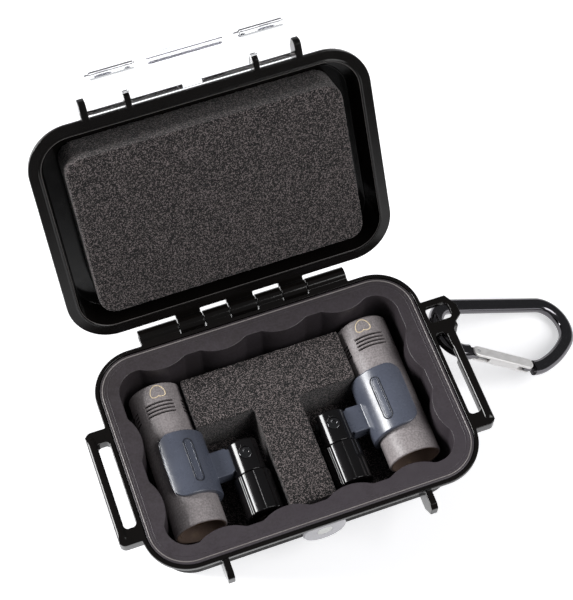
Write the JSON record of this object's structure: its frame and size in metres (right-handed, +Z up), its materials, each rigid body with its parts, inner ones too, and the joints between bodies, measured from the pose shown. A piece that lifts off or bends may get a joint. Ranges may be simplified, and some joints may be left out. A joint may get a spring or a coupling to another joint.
{
  "type": "microphone case",
  "caption": "Small hard case with hinged lid, clear front latch, strap loops and a snap hook, holding compact microphones with stand clips in foam.",
  "frame": {"origin": "middle of the closed base's underside", "axes": "+X along the hinge towards the snap hook, +Y towards the hinge, +Z up"},
  "size_m": [0.1971, 0.1587, 0.136],
  "materials": {
    "black_shell": "gloss",
    "boot_rubber": "satin",
    "foam": "open cell, matte",
    "steel": "satin",
    "black_steel": "satin black",
    "valve_plastic": "satin",
    "membrane": "matte",
    "seal_rubber": "matte",
    "clear_plastic": "clear gloss plastic",
    "black_anodised": "black anodised",
    "bright_aluminium": "bright",
    "grey_lacquer": "fine matte",
    "mesh_metal": "mesh",
    "brass": "turned",
    "insert_plastic": "matte",
    "gold_contacts": "gold plated",
    "board": "matte",
    "clip_plastic": "satin",
    "adapter_plastic": "satin"
  },
  "bodies": {
    "base": {"base_shell": "black_shell", "base_boot": "boot_rubber", "floor_foam": "foam", "divider_foam": "foam", "hinge_pin": "steel", "valve_body": "valve_plastic", "valve_membrane": "membrane", "valve_seal": "seal_rubber"},
    "lid": {"lid_shell": "black_shell", "lid_foam": "foam", "latch_pins": "steel"},
    "latch": {"latch": "clear_plastic"},
    "snap_hook": {"hook_body": "black_anodised"},
    "gate": {"hook_gate": "bright_aluminium", "gate_plunger": "steel", "gate_pin": "steel"},
    "left_microphone": {"left_capsule_housing": "grey_lacquer", "left_capsule_grille": "mesh_metal", "left_capsule_cartridge": "brass", "left_preamp_tube": "grey_lacquer", "left_connector_insert": "insert_plastic", "left_connector_pins": "gold_contacts", "left_amplifier_board": "board", "left_stand_clip": "clip_plastic", "left_swivel_head": "adapter_plastic", "left_pivot_screw": "black_steel", "left_stand_socket": "adapter_plastic", "left_thread_bush": "brass"},
    "right_microphone": {"right_capsule_housing": "grey_lacquer", "right_capsule_grille": "mesh_metal", "right_capsule_cartridge": "brass", "right_preamp_tube": "grey_lacquer", "right_connector_insert": "insert_plastic", "right_connector_pins": "gold_contacts", "right_amplifier_board": "board", "right_stand_clip": "clip_plastic", "right_swivel_head": "adapter_plastic", "right_pivot_screw": "black_steel", "right_stand_socket": "adapter_plastic", "right_thread_bush": "brass"}
  },
  "joints": [
    {"name": "lid_hinge", "type": "hinge", "parent": "base", "child": "lid", "pos_m": [0, 0.0482, 0.03675], "axis": [-1, 0, 0], "range_deg": [-119, 0]},
    {"name": "latch_pivot", "type": "hinge", "parent": "lid", "child": "latch", "pos_m": [0, 0.0968, 0.11751], "axis": [-1, 0, 0], "range_deg": [-90, 0]},
    {"name": "hook_swing", "type": "hinge", "parent": "base", "child": "snap_hook", "pos_m": [0.0662, 0.0155, 0.0335], "axis": [0, -1, 0], "range_deg": [0, 28]},
    {"name": "gate_hinge", "type": "hinge", "parent": "snap_hook", "child": "gate", "pos_m": [0.0786, 0.0045, 0.02679], "axis": [0.4756, 0, 0.8796], "range_deg": [0, 25], "stiffness_Nm_per_rad": 0.03, "springref_deg": -11.46},
    {"name": "left_microphone_lift", "type": "slide", "parent": "base", "child": "left_microphone", "axis": [0, 0, 1], "range_m": [0, 0.045]},
    {"name": "right_microphone_lift", "type": "slide", "parent": "base", "child": "right_microphone", "axis": [0, 0, 1], "range_m": [0, 0.045]}
  ]
}
